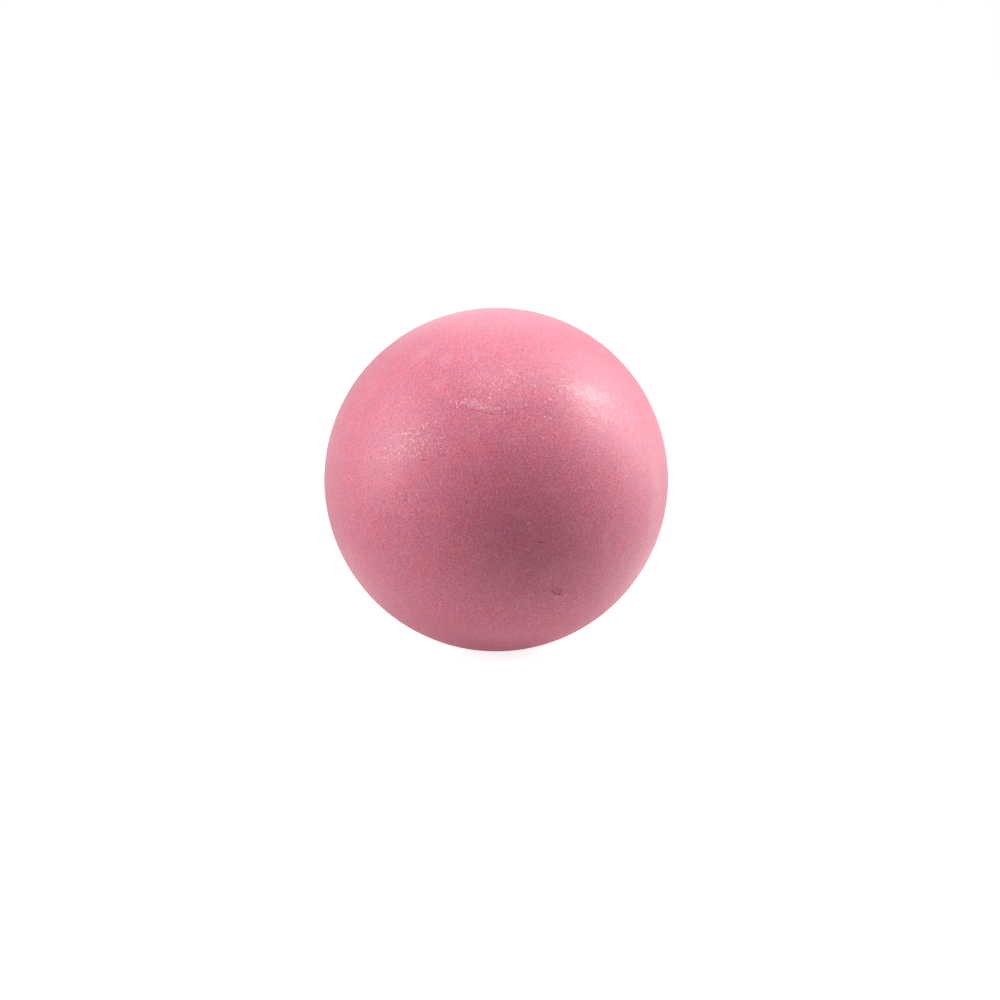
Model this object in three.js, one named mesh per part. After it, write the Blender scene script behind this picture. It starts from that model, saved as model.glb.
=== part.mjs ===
// A hollow pink rubber ball, sixty millimetres across.
// Two moulded rubber half shells are cemented together around the middle, and the gas pressed in
// between them makes the ball bounce. The ball has no valve, plug or outer cover.
//
// Frame: the origin is the ball's centre, the cemented seam lies in the XY plane, and +Z points to
// the pole of the upper half shell. Sizes are in millimetres.

import * as THREE from "three";
import { mergeVertices } from "three/addons/utils/BufferGeometryUtils.js";

// Driving dimensions: the ball
const BALL_DIAMETER = 60;
const WALL_THICKNESS = 3.8;

// Driving dimensions: the cemented seam
const CEMENT_THICKNESS = 0.16;
const RIM_BEVEL = 0.12; // buffed off each rim's outer edge, so that the seam shows as a fine groove
const CEMENT_INSET = 0.03; // how far the cement stays below the ball's surface in that groove
const RIM_CHAMFER = 0.9; // moulded on each rim's inner edge, where the spare cement gathers
const BEAD_BULGE = 0.7; // how far the squeezed-out bead stands into the gas space

// How finely the round surfaces are divided
const TURN_SEGMENTS = 72;
const OUTER_RINGS = 18;
const INNER_RINGS = 15;
const BEAD_STEPS = 5;

// Finishes
const RUBBER_PINK = 0xe77792;
const CEMENT_PINK = 0xc9657f;
const RUBBER_ROUGHNESS = 0.62;
const CEMENT_ROUGHNESS = 0.45;

// Derived sizes
const OUTER_RADIUS = BALL_DIAMETER / 2;
const INNER_RADIUS = OUTER_RADIUS - WALL_THICKNESS;
const RIM_HEIGHT = CEMENT_THICKNESS / 2;

// Radius at which a sphere of the given radius reaches a height above the seam plane.
function radiusAtHeight(sphereRadius, height) {
  return Math.sqrt(sphereRadius ** 2 - height ** 2);
}

// Corner points of one rim, shared by the shells and by the cement between them.
const rim = {
  bevelTop: new THREE.Vector2(
    radiusAtHeight(OUTER_RADIUS, RIM_HEIGHT + RIM_BEVEL),
    RIM_HEIGHT + RIM_BEVEL,
  ),
  landOuter: new THREE.Vector2(OUTER_RADIUS - RIM_BEVEL, RIM_HEIGHT),
  landInner: new THREE.Vector2(INNER_RADIUS + RIM_CHAMFER, RIM_HEIGHT),
  chamferTop: new THREE.Vector2(
    radiusAtHeight(INNER_RADIUS, RIM_HEIGHT + RIM_CHAMFER),
    RIM_HEIGHT + RIM_CHAMFER,
  ),
};

// Points along a circle about the origin, from one angle above the seam plane to another.
function arcPoints(radius, fromAngle, toAngle, steps) {
  const points = [];
  for (let i = 0; i <= steps; i += 1) {
    const angle = THREE.MathUtils.lerp(fromAngle, toAngle, i / steps);
    points.push(
      new THREE.Vector2(radius * Math.cos(angle), radius * Math.sin(angle)),
    );
  }
  return points;
}

// The other half of the seam is the same outline seen in the seam plane.
function mirrored(points) {
  return points.map((p) => new THREE.Vector2(p.x, -p.y)).reverse();
}

// Turns a closed outline of radius and height about the Z axis into a solid.
function turned(outline) {
  const lathe = new THREE.LatheGeometry(outline, TURN_SEGMENTS);
  lathe.deleteAttribute("normal");
  lathe.deleteAttribute("uv");
  lathe.rotateX(Math.PI / 2); // the lathe turns about Y, and the ball's axis is Z
  const solid = mergeVertices(lathe, 1e-4);
  solid.computeVertexNormals();
  return solid;
}

// Half shell: a moulded cup with a wall of even thickness and a flat rim, whose outer edge is
// buffed to a bevel and whose inner edge has a chamfer.
function halfShellOutline() {
  const pole = Math.PI / 2;
  const outerEdge = Math.atan2(rim.bevelTop.y, rim.bevelTop.x);
  const innerEdge = Math.atan2(rim.chamferTop.y, rim.chamferTop.x);
  const outside = arcPoints(OUTER_RADIUS, outerEdge, pole, OUTER_RINGS);
  const inside = arcPoints(INNER_RADIUS, pole, innerEdge, INNER_RINGS);
  outside.at(-1).x = 0; // both poles lie exactly on the axis
  inside[0].x = 0;
  return [...inside, rim.landInner, rim.landOuter, ...outside];
}

// Cement: a thin cured film between the rims, with a lip in the outer groove and a rounded bead
// where it was squeezed out into the inner chamfers.
function cementOutline() {
  const lipReach = 1 - CEMENT_INSET / RIM_BEVEL;
  const lipTop = new THREE.Vector2().lerpVectors(
    rim.landOuter,
    rim.bevelTop,
    lipReach,
  );
  const bead = [];
  for (let i = 0; i <= BEAD_STEPS; i += 1) {
    const angle = (i / BEAD_STEPS) * (Math.PI / 2);
    bead.push(
      new THREE.Vector2(
        rim.chamferTop.x - BEAD_BULGE * Math.sin(angle),
        rim.chamferTop.y * Math.cos(angle),
      ),
    );
  }
  const upperHalf = [lipTop, rim.landOuter, rim.landInner, ...bead];
  const lowerHalf = mirrored(upperHalf);
  lowerHalf.shift(); // the bead's innermost point belongs to both halves
  return [...upperHalf, ...lowerHalf, lipTop];
}

function piece(name, geometry, material) {
  const mesh = new THREE.Mesh(geometry, material);
  mesh.name = name;
  return mesh;
}

const rubber = new THREE.MeshStandardMaterial({
  color: RUBBER_PINK,
  roughness: RUBBER_ROUGHNESS,
  metalness: 0,
});
const cement = new THREE.MeshStandardMaterial({
  color: CEMENT_PINK,
  roughness: CEMENT_ROUGHNESS,
  metalness: 0,
});

// The lower shell is the upper one turned half a turn about X, rim to rim across the cement.
const upperShell = piece("upper_half_shell", turned(halfShellOutline()), rubber);
const lowerShell = piece("lower_half_shell", turned(halfShellOutline()), rubber);
lowerShell.rotation.x = Math.PI;
const seamCement = piece("seam_cement_ring", turned(cementOutline()), cement);

const ball = new THREE.Group();
ball.name = "pinky_ball";
ball.add(upperShell, seamCement, lowerShell);

export default ball;
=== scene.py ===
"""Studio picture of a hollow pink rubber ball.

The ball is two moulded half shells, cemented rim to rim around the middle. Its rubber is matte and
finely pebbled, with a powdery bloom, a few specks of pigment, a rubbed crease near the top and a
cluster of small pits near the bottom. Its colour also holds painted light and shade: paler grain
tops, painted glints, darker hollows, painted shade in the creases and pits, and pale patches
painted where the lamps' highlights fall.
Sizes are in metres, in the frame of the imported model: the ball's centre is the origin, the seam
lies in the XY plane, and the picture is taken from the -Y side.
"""

from __future__ import annotations

import logging
import math
from dataclasses import dataclass, field
from enum import Enum

import bpy
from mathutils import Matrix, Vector


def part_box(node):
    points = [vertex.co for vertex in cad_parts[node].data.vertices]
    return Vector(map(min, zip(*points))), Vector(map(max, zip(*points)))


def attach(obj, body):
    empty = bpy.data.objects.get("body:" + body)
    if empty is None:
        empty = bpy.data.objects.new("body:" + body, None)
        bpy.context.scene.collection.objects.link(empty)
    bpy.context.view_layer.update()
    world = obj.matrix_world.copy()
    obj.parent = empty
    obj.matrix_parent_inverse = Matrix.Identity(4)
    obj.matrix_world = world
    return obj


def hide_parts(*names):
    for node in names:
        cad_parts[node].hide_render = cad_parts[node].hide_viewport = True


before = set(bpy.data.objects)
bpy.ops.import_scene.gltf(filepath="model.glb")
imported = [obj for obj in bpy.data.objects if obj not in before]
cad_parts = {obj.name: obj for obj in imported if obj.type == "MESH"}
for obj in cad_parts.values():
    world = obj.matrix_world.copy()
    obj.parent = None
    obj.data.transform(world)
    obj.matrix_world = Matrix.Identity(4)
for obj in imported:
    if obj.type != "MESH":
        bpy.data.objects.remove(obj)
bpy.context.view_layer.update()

LOG = logging.getLogger("pink_ball")
BODY = "root"
MM = 0.001
LAYER_SHARE = 0.55  # strength of each finer layer of cloudy noise, as a share of the one before

Colour = tuple[float, float, float]


def heading(azimuth: float, elevation: float) -> Vector:
    """Gives a direction from the ball's centre.

    Args:
        azimuth: degrees round the ball from the -Y side towards +X.
        elevation: degrees above level.

    Returns:
        The direction, of length 1.
    """
    turn = math.radians(azimuth)
    rise = math.radians(elevation)
    return Vector(
        (math.sin(turn) * math.cos(rise), -math.cos(turn) * math.cos(rise), math.sin(rise))
    )


class NodeSheet:
    """Adds nodes to one tree, for a material, the world or a modelled shape, and joins them up."""

    def __init__(self, tree: bpy.types.NodeTree) -> None:
        """Empties the tree.

        Args:
            tree: the tree to write in.
        """
        self.tree = tree
        self.tree.nodes.clear()

    def add(self, kind: str, **settings: object) -> bpy.types.Node:
        """Adds one node.

        Args:
            kind: the node's type name.
            settings: properties to set on it.

        Returns:
            The new node.
        """
        node = self.tree.nodes.new(kind)
        for name, value in settings.items():
            setattr(node, name, value)
        return node

    def feed(self, socket: bpy.types.NodeSocket, value: object) -> None:
        """Links an input to another node's output, or sets it to a constant.

        Args:
            socket: the input.
            value: an output socket, or the constant.
        """
        if isinstance(value, bpy.types.NodeSocket):
            self.tree.links.new(value, socket)
        else:
            socket.default_value = value

    def fed(self, kind: str, inputs: dict[str, object], **settings: object) -> bpy.types.Node:
        """Adds a node and feeds its named inputs.

        Args:
            kind: the node's type name.
            inputs: an output socket or a constant for each named input.
            settings: properties to set on the node.

        Returns:
            The new node.
        """
        node = self.add(kind, **settings)
        for name, value in inputs.items():
            self.feed(node.inputs[name], value)
        return node

    def math(self, operation: str, *values: object) -> bpy.types.NodeSocket:
        """Adds a sum on numbers.

        Args:
            operation: the Math node's operation.
            values: its operands in order.

        Returns:
            The result.
        """
        node = self.add("ShaderNodeMath", operation=operation)
        for socket, value in zip(node.inputs, values):
            self.feed(socket, value)
        return node.outputs[0]

    def vector_math(self, operation: str, *values: object) -> bpy.types.NodeSocket:
        """Adds a sum on vectors.

        Args:
            operation: the Vector Math node's operation, other than SCALE.
            values: its operands in order.

        Returns:
            The result, a number for a dot product or a length, and else a vector.
        """
        node = self.add("ShaderNodeVectorMath", operation=operation)
        for socket, value in zip(node.inputs, values):
            self.feed(socket, value)
        as_number = operation in ("DOT_PRODUCT", "LENGTH")
        return node.outputs["Value" if as_number else "Vector"]

    def scaled(self, vector: object, factor: object) -> bpy.types.NodeSocket:
        """Multiplies a vector by a number.

        Args:
            vector: the vector.
            factor: the number.

        Returns:
            The longer or shorter vector.
        """
        node = self.fed("ShaderNodeVectorMath", {"Scale": factor}, operation="SCALE")
        self.feed(node.inputs[0], vector)
        return node.outputs["Vector"]

    def combined(self, x: object, y: object, z: object) -> bpy.types.NodeSocket:
        """Makes a vector of three numbers."""
        return self.fed("ShaderNodeCombineXYZ", {"X": x, "Y": y, "Z": z}).outputs[0]

    def parts(self, vector: object) -> list[bpy.types.NodeSocket]:
        """Splits a vector into its three numbers."""
        return list(self.fed("ShaderNodeSeparateXYZ", {"Vector": vector}).outputs)

    def ramp(
        self, value: object, low: object, high: object, to_low: object = 0.0, to_high: object = 1.0
    ) -> bpy.types.NodeSocket:
        """Eases a number from one range to another, clamped at both ends.

        Args:
            value: the number.
            low: where the ramp starts.
            high: where the ramp ends.
            to_low: the result at the start.
            to_high: the result at the end.

        Returns:
            The eased number.
        """
        inputs = {
            "Value": value,
            "From Min": low,
            "From Max": high,
            "To Min": to_low,
            "To Max": to_high,
        }
        node = self.fed("ShaderNodeMapRange", inputs, interpolation_type="SMOOTHSTEP")
        return node.outputs["Result"]

    def noise(self, place: object, size: float, detail: float = 2.0) -> bpy.types.Node:
        """Adds soft cloudy noise.

        Args:
            place: the point at which it is read.
            size: how wide its largest blobs are, in metres.
            detail: how many finer layers it has.

        Returns:
            The noise node, whose outputs are a number and a colour.
        """
        inputs = {
            "Vector": place,
            "Scale": 1.0 / size,
            "Detail": detail,
            "Roughness": LAYER_SHARE,
        }
        return self.fed("ShaderNodeTexNoise", inputs)

    def cells(self, place: object, size: float) -> bpy.types.Node:
        """Adds a pattern of cells.

        Args:
            place: the point at which it is read.
            size: how wide a cell is, in metres.

        Returns:
            The node, whose outputs are the distance from a cell's middle and a colour by chance.
        """
        inputs = {"Vector": place, "Scale": 1.0 / size}
        return self.fed("ShaderNodeTexVoronoi", inputs)

    def mixed(self, factor: object, first: object, second: object) -> bpy.types.NodeSocket:
        """Mixes two colours.

        Args:
            factor: how much of the second colour is used.
            first: the colour at 0.
            second: the colour at 1.

        Returns:
            The mixed colour.
        """
        node = self.add("ShaderNodeMix", data_type="RGBA")
        for index, value in ((0, factor), (6, first), (7, second)):
            if isinstance(value, tuple):
                value = (*value, 1.0)
            self.feed(node.inputs[index], value)
        return node.outputs[2]


MEASURED_RADIUS = 30 * MM  # of the ball that the marks were measured on
MARK_EDGE = 1.3  # where a mark has faded out, in halves of its length and width
MARK_CORE = 0.3  # where a mark has its full strength


class MarkKind(Enum):
    """What a mark on the rubber is."""

    SPECK = "dark speck of pigment"
    GRIT = "pale grain of dust"
    STAIN = "deeper red spot"
    # Powdery bloom, and in some patches a painted highlight and painted sheen
    PAINTED_HIGHLIGHT_AND_BLOOM = "pale powdery patch"
    # Rubbed patches: smoother gloss and stronger relief, with painted glints and painted light and
    # shade on their pebbles
    RUBBED_WITH_PAINTED_GLINTS = "patch rubbed smooth, with pale grains"
    NICK = "small pit"
    CREASE = "fine crease left by the mould"


@dataclass(frozen=True)
class Mark:
    """One mark on the ball, placed as on a globe.

    Args:
        kind: what it is.
        azimuth: degrees round the ball from the -Y side towards +X.
        latitude: degrees above the seam.
        length: its longer side, in millimetres.
        width: its shorter side, in millimetres.
        lean: degrees from level to its longer side, counted towards the upper pole.
        strength: how plain it is, 1 for plain and more for a patch that is rubbed hard.
    """

    kind: MarkKind
    azimuth: float
    latitude: float
    length: float
    width: float
    lean: float = 0.0
    strength: float = 1.0

    def outward(self) -> Vector:
        """The direction of the mark from the ball's centre."""
        return heading(self.azimuth, self.latitude)

    def along(self) -> Vector:
        """Finds the direction of the mark's longer side, on the surface.

        Returns:
            The direction, of length 1.
        """
        east = Vector((0.0, 0.0, 1.0)).cross(self.outward()).normalized()
        north = self.outward().cross(east)
        lean = math.radians(self.lean)
        return math.cos(lean) * east + math.sin(lean) * north

    def across(self) -> Vector:
        """The direction of the mark's shorter side, on the surface."""
        return self.outward().cross(self.along())

    def crosses_seam(self) -> bool:
        """Tells whether the mark lies on both halves of the ball.

        Returns:
            True where its faded edge reaches past the seam.
        """
        lean = math.radians(self.lean)
        half = math.hypot(self.length * math.sin(lean), self.width * math.cos(lean)) / 2
        rise = math.radians(abs(self.latitude))
        return math.cos(rise) * half * MARK_EDGE * MM > math.sin(rise) * MEASURED_RADIUS


# The marks that the picture shows, one kind after another
MARKS = (
    Mark(MarkKind.SPECK, 16.8, 59.1, 0.42, 0.36, strength=0.75),
    Mark(MarkKind.SPECK, 14.4, -7.6, 0.55, 0.42, strength=0.9),
    Mark(MarkKind.SPECK, 43.8, 8.3, 0.50, 0.36, strength=0.7),
    Mark(MarkKind.SPECK, -30.4, 4.7, 0.45, 0.36, strength=0.7),
    Mark(MarkKind.SPECK, -24.9, 18.0, 0.50, 0.36, lean=30.0, strength=0.9),
    Mark(MarkKind.SPECK, -24.1, 18.2, 0.36, 0.30, strength=0.6),
    Mark(MarkKind.SPECK, -9.4, 5.5, 0.50, 0.40, strength=0.6),
    Mark(MarkKind.GRIT, 10.0, -1.1, 0.45, 0.36, strength=0.8),
    Mark(MarkKind.GRIT, -2.6, 39.6, 0.50, 0.40, strength=0.8),
    Mark(MarkKind.GRIT, -5.6, 36.2, 0.55, 0.40, strength=0.8),
    Mark(MarkKind.GRIT, 22.4, -29.2, 0.70, 0.50, lean=10.0, strength=0.55),
    Mark(MarkKind.GRIT, 20.8, -28.4, 0.55, 0.45, strength=0.45),
    Mark(MarkKind.GRIT, 24.0, -29.0, 0.50, 0.40, strength=0.4),
    Mark(MarkKind.STAIN, 53.3, 24.6, 1.6, 1.1, strength=0.45),
    Mark(MarkKind.STAIN, -21.4, -15.0, 9.0, 6.0, lean=30.0, strength=0.12),
    Mark(MarkKind.STAIN, -22.8, -43.5, 1.4, 0.9, strength=0.4),
    Mark(MarkKind.STAIN, -37.0, 12.0, 12.0, 9.0, lean=60.0, strength=0.13),
    Mark(MarkKind.STAIN, 22.3, -27.4, 2.2, 1.5, lean=20.0, strength=0.45),
    # Small pits, darkened with painted shade
    Mark(MarkKind.NICK, 20.6, -26.2, 0.70, 0.50, lean=10.0, strength=0.9),
    Mark(MarkKind.NICK, 22.3, -25.8, 0.60, 0.45, lean=-10.0, strength=0.8),
    Mark(MarkKind.NICK, 21.7, -27.3, 0.75, 0.50, lean=-40.0, strength=0.9),
    Mark(MarkKind.NICK, 24.0, -26.4, 0.80, 0.50, lean=48.0, strength=1.0),
    Mark(MarkKind.NICK, 23.2, -27.9, 0.70, 0.50, lean=60.0, strength=1.0),
    # Mould creases, darkened with painted shade along their dents
    Mark(MarkKind.CREASE, -9.6, 35.6, 4.0, 0.22, lean=-10.0, strength=0.9),
    Mark(MarkKind.CREASE, -4.0, 34.4, 4.6, 0.26, lean=-9.0, strength=1.0),
    Mark(MarkKind.CREASE, 2.6, 33.8, 4.6, 0.18, lean=-1.0, strength=0.45),
    Mark(MarkKind.CREASE, 17.0, 33.0, 5.0, 0.16, lean=-3.0, strength=0.2),
    Mark(MarkKind.CREASE, 36.5, 30.4, 5.0, 0.22, lean=-12.0, strength=0.4),
    Mark(MarkKind.CREASE, 47.0, 27.2, 4.0, 0.24, lean=-30.0, strength=0.4),
    Mark(MarkKind.CREASE, -16.0, 53.2, 5.5, 0.20, lean=32.0, strength=0.3),
    Mark(MarkKind.CREASE, -4.0, 56.3, 5.0, 0.20, lean=14.0, strength=0.35),
    Mark(MarkKind.CREASE, 9.0, 57.0, 4.0, 0.20, lean=-6.0, strength=0.3),
    # Rubbed patches with painted glints; those at the left and upper right lie where the lamps'
    # highlights fall
    Mark(MarkKind.RUBBED_WITH_PAINTED_GLINTS, -6.5, 37.0, 10.0, 3.0, lean=-12.0, strength=1.3),
    Mark(MarkKind.RUBBED_WITH_PAINTED_GLINTS, 1.5, 36.0, 9.0, 3.0, lean=-6.0, strength=0.8),
    Mark(MarkKind.RUBBED_WITH_PAINTED_GLINTS, 8.0, 41.0, 22.0, 12.0, lean=-6.0, strength=0.45),
    Mark(MarkKind.RUBBED_WITH_PAINTED_GLINTS, -3.6, 45.0, 4.5, 2.4, strength=0.6),
    Mark(MarkKind.RUBBED_WITH_PAINTED_GLINTS, -30.5, 22.5, 13.0, 8.0, lean=25.0, strength=1.0),
    Mark(MarkKind.RUBBED_WITH_PAINTED_GLINTS, -30.0, 15.0, 22.0, 18.0, lean=50.0, strength=0.25),
    Mark(MarkKind.RUBBED_WITH_PAINTED_GLINTS, 40.0, 39.5, 14.0, 5.0, lean=-24.0, strength=1.9),
    Mark(MarkKind.RUBBED_WITH_PAINTED_GLINTS, 43.0, 35.5, 18.0, 10.0, lean=-28.0, strength=1.0),
    Mark(MarkKind.RUBBED_WITH_PAINTED_GLINTS, 8.0, -36.0, 30.0, 12.0, strength=0.3),
    Mark(MarkKind.PAINTED_HIGHLIGHT_AND_BLOOM, -45.6, 54.5, 5.0, 3.0, lean=70.0, strength=0.5),
    Mark(MarkKind.PAINTED_HIGHLIGHT_AND_BLOOM, -28.6, 53.7, 4.0, 2.6, lean=80.0, strength=0.5),
    Mark(MarkKind.PAINTED_HIGHLIGHT_AND_BLOOM, -25.8, 44.7, 4.0, 2.4, lean=60.0, strength=0.4),
    # Painted highlight: the bright band on the upper side of the crease
    Mark(MarkKind.PAINTED_HIGHLIGHT_AND_BLOOM, -6.0, 36.9, 8.0, 1.6, lean=-12.0, strength=0.7),
    # Painted highlight on the upper right, where the right-hand lamps' highlight falls
    Mark(MarkKind.PAINTED_HIGHLIGHT_AND_BLOOM, 40.0, 39.5, 13.0, 4.0, lean=-24.0, strength=0.9),
    Mark(MarkKind.PAINTED_HIGHLIGHT_AND_BLOOM, 29.0, 43.0, 6.0, 3.0, lean=-10.0, strength=0.4),
    # Painted highlight: a broad pale patch over the same highlight
    Mark(MarkKind.PAINTED_HIGHLIGHT_AND_BLOOM, 40.0, 48.0, 26.0, 14.0, lean=-20.0, strength=0.35),
    Mark(MarkKind.PAINTED_HIGHLIGHT_AND_BLOOM, -65.1, -22.7, 9.0, 3.0, lean=55.0, strength=0.5),
    Mark(MarkKind.PAINTED_HIGHLIGHT_AND_BLOOM, -0.3, -49.3, 16.0, 6.0, strength=0.4),
    Mark(MarkKind.PAINTED_HIGHLIGHT_AND_BLOOM, 39.2, -12.5, 9.0, 2.0, lean=98.0, strength=0.4),
    # Pale band near the right-hand edge, partly bloom and partly painted sheen
    Mark(MarkKind.PAINTED_HIGHLIGHT_AND_BLOOM, 66.0, 2.0, 18.0, 6.0, lean=85.0, strength=0.5),
)


@dataclass
class Surface:
    """The point being shaded, with what lies there.

    Args:
        sheet: the material's nodes.
        place: the point on the piece.
        masks: for each kind of mark, its strength there.
        drift: how far the edges of the marks wander.
        drift_size: how long each of those wanderings is.
    """

    sheet: NodeSheet
    place: bpy.types.NodeSocket
    drift: float = 0.7 * MM
    drift_size: float = 1.5 * MM
    masks: dict[MarkKind, bpy.types.NodeSocket] = field(default_factory=dict)

    def mask(self, kind: MarkKind, share: float = 1.0) -> object:
        """Gives a share of the strength of the marks of one kind.

        Args:
            kind: the kind of mark.
            share: the share.

        Returns:
            That strength, or 0 where the half has no such marks.
        """
        known = self.masks.get(kind)
        return self.sheet.math("MULTIPLY", known, share) if known else 0.0

    def lay(self, marks: tuple[Mark, ...]) -> None:
        """Works out where marks lie, on one half of the ball.

        Distances along and across a mark are the same at its opposite point. That point is on
        the other half, except for a mark that crosses the seam, which is shown ahead only.

        Args:
            marks: the marks that lie on that half.
        """
        sheet = self.sheet
        if not marks:
            return
        drift = sheet.noise(self.place, self.drift_size, detail=2.0).outputs["Color"]
        drift = sheet.scaled(sheet.vector_math("SUBTRACT", drift, (0.5, 0.5, 0.5)), self.drift)
        drifted = sheet.vector_math("ADD", self.place, drift)
        for mark in marks:
            halves = (mark.length * MM / 2, mark.width * MM / 2)
            reach = [
                sheet.vector_math("DOT_PRODUCT", drifted, axis / half)
                for axis, half in zip((mark.along(), mark.across()), halves)
            ]
            spread = sheet.vector_math("LENGTH", sheet.combined(*reach, 0.0))
            mask = sheet.ramp(spread, MARK_EDGE, MARK_CORE, 0.0, mark.strength)
            if mark.crosses_seam():
                ahead = sheet.vector_math("DOT_PRODUCT", self.place, mark.outward())
                mask = sheet.math("MULTIPLY", mask, sheet.math("GREATER_THAN", ahead, 0.0))
            known = self.masks.get(mark.kind)
            self.masks[mark.kind] = sheet.math("MAXIMUM", known, mask) if known else mask


@dataclass(frozen=True)
class RubberFinish:
    """Matte pebbled pink rubber with a powdery bloom, and with painted highlights, glints and shade.

    Args:
        pink: the rubber's own colour.
        mauve: the cooler tone in its broad mottling.
        salmon: the warmer tone in its broad mottling.
        stain: the colour of a deeper red spot.
        pale: the colour of dust and bloom, and of the pale patches painted as highlight and sheen.
        painted_crest_highlight: the colour of the tops of the grains, painted as a highlight.
        glint: the colour of the painted glints on single grains.
        shade: the colour of the hollows between the grains, painted as shade.
        dark: the colour of pigment specks, and of the painted shade in the nicks and creases.
        roughness: how matte it is.
        patchiness: how much the roughness varies from place to place.
        patch_size: how wide those places are.
        powder_dulling: how much a full cover of powder adds to the roughness.
        rubbed_polish: how much rubbing takes off the roughness.
        specular: how strong its plain gloss is.
        sheen: how much the dust on it lightens at a glancing angle.
        sheen_roughness: how widely that lightening spreads.
        sheen_below: the share of the sheen that is left at the foot of the ball.
        sheen_heights: between which heights the sheen grows to its full weight.
        mottle_size: how wide the broad mottling is.
        mottle_tint: how much of the cooler tone it has at most.
        blotch_size: how wide the warmer and the cooler blotches are.
        blotch_range: between which values of the noise a blotch fades in.
        blotch_tint: how much of their tone they have at most.
        cloud_size: how wide the thin clouds of powder are.
        cloud_cover: how much powder they have at most.
        highlight_and_bloom_cover: how much powder the pale patches have, some of it painted
            highlight and sheen.
        grain_size: how wide a grain of the surface is.
        grain_depth: how high a grain stands.
        grain_painted_light: how much the grains and the hollows differ in colour, as painted
            highlight and shade.
        pebble_size: how wide a pebble is, made of several grains.
        pebble_depth: how high a pebble stands.
        pebble_painted_highlight: how much paler a pebble's crown is than the rubber, a painted
            highlight.
        hollow_painted_shade: how much darker the hollows between the pebbles are, a painted shade.
        rubbed_relief: how much more the pebbles stand out where the surface is rubbed, and how much
            stronger their painted highlight and shade are there.
        glint_size: how far apart the places of painted glints are.
        glint_cover: how plain a painted glint is.
        swarm_size: how wide the loose swarms of painted glints are.
        peel_size: how wide the slow ripple of the moulding is.
        peel_depth: how high it stands.
        crease_depth: how deep a crease is.
        crease_painted_shade: how much painted shade darkens a crease, as a share of a speck.
        nick_depth: how deep a nick is.
        nick_painted_shade: how much painted shade darkens a nick, as a share of a speck.
        buffed: how far from the seam the surface is buffed smoother.
    """

    pink: Colour = (0.712, 0.167, 0.250)
    mauve: Colour = (0.668, 0.170, 0.272)
    salmon: Colour = (0.750, 0.160, 0.231)
    stain: Colour = (0.70, 0.07, 0.12)
    pale: Colour = (0.90, 0.52, 0.58)
    # painted highlight on the tops of the grains
    painted_crest_highlight: Colour = (0.91, 0.335, 0.435)
    # painted glints on single grains
    glint: Colour = (1.0, 0.48, 0.58)
    # painted shade in the hollows between the grains
    shade: Colour = (0.47, 0.045, 0.095)
    # pigment specks, and painted shade in the nicks and creases
    dark: Colour = (0.32, 0.008, 0.022)
    roughness: float = 0.48
    patchiness: float = 0.24
    patch_size: float = 0.6 * MM
    powder_dulling: float = 0.4
    rubbed_polish: float = 0.10
    specular: float = 0.45
    sheen: float = 0.39
    sheen_roughness: float = 0.5
    sheen_below: float = 0.1
    sheen_heights: tuple[float, float] = (-27 * MM, -8 * MM)
    mottle_size: float = 5 * MM
    mottle_tint: float = 0.6
    blotch_size: float = 3 * MM
    blotch_range: tuple[float, float] = (0.44, 0.66)
    blotch_tint: float = 0.8
    cloud_size: float = 4 * MM
    cloud_cover: float = 0.12
    highlight_and_bloom_cover: float = 0.3
    grain_size: float = 0.25 * MM
    grain_depth: float = 0.0010 * MM
    grain_painted_light: float = 0.47
    pebble_size: float = 0.46 * MM
    pebble_depth: float = 0.0022 * MM
    pebble_painted_highlight: float = 0.16
    hollow_painted_shade: float = 0.12
    rubbed_relief: float = 2.6
    glint_size: float = 0.5 * MM
    glint_cover: float = 0.85
    swarm_size: float = 6 * MM
    peel_size: float = 1.6 * MM
    peel_depth: float = 0.006 * MM
    crease_depth: float = 0.05 * MM
    crease_painted_shade: float = 0.25
    nick_depth: float = 0.04 * MM
    nick_painted_shade: float = 0.8
    buffed: float = 1.3 * MM

    def material(self, name: str, marks: tuple[Mark, ...] = ()) -> bpy.types.Material:
        """Makes the material.

        Args:
            name: the material's name.
            marks: the marks to show, of those that lie on one half of the ball.

        Returns:
            The material.
        """
        material = bpy.data.materials.new(name)
        material.use_nodes = True
        sheet = NodeSheet(material.node_tree)
        surface = Surface(sheet, sheet.add("ShaderNodeTexCoord").outputs["Object"])
        surface.lay(marks)
        powder = self.powder(surface)
        shader = sheet.fed(
            "ShaderNodeBsdfPrincipled",
            {
                "Base Color": self.colour(surface, powder),
                "Roughness": self.gloss(surface, powder),
                "Specular IOR Level": self.specular,
                "Sheen Weight": self.dusted(surface),
                "Sheen Roughness": self.sheen_roughness,
                "Normal": self.relief(surface),
            },
        )
        sheet.fed("ShaderNodeOutputMaterial", {"Surface": shader.outputs[0]})
        return material

    def powder(self, surface: Surface) -> bpy.types.NodeSocket:
        """Spreads thin clouds of powder, thicker on the pale patches, some of which are painted
        highlight and sheen.

        Args:
            surface: the point being shaded.

        Returns:
            How much powder, partly painted highlight, lies there.
        """
        sheet = surface.sheet
        cloud = sheet.noise(surface.place, self.cloud_size, detail=4.0).outputs[0]
        thin = sheet.ramp(cloud, 0.5, 0.8, 0.0, self.cloud_cover)
        return sheet.math("MAXIMUM", thin, surface.mask(MarkKind.PAINTED_HIGHLIGHT_AND_BLOOM, self.highlight_and_bloom_cover))

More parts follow.
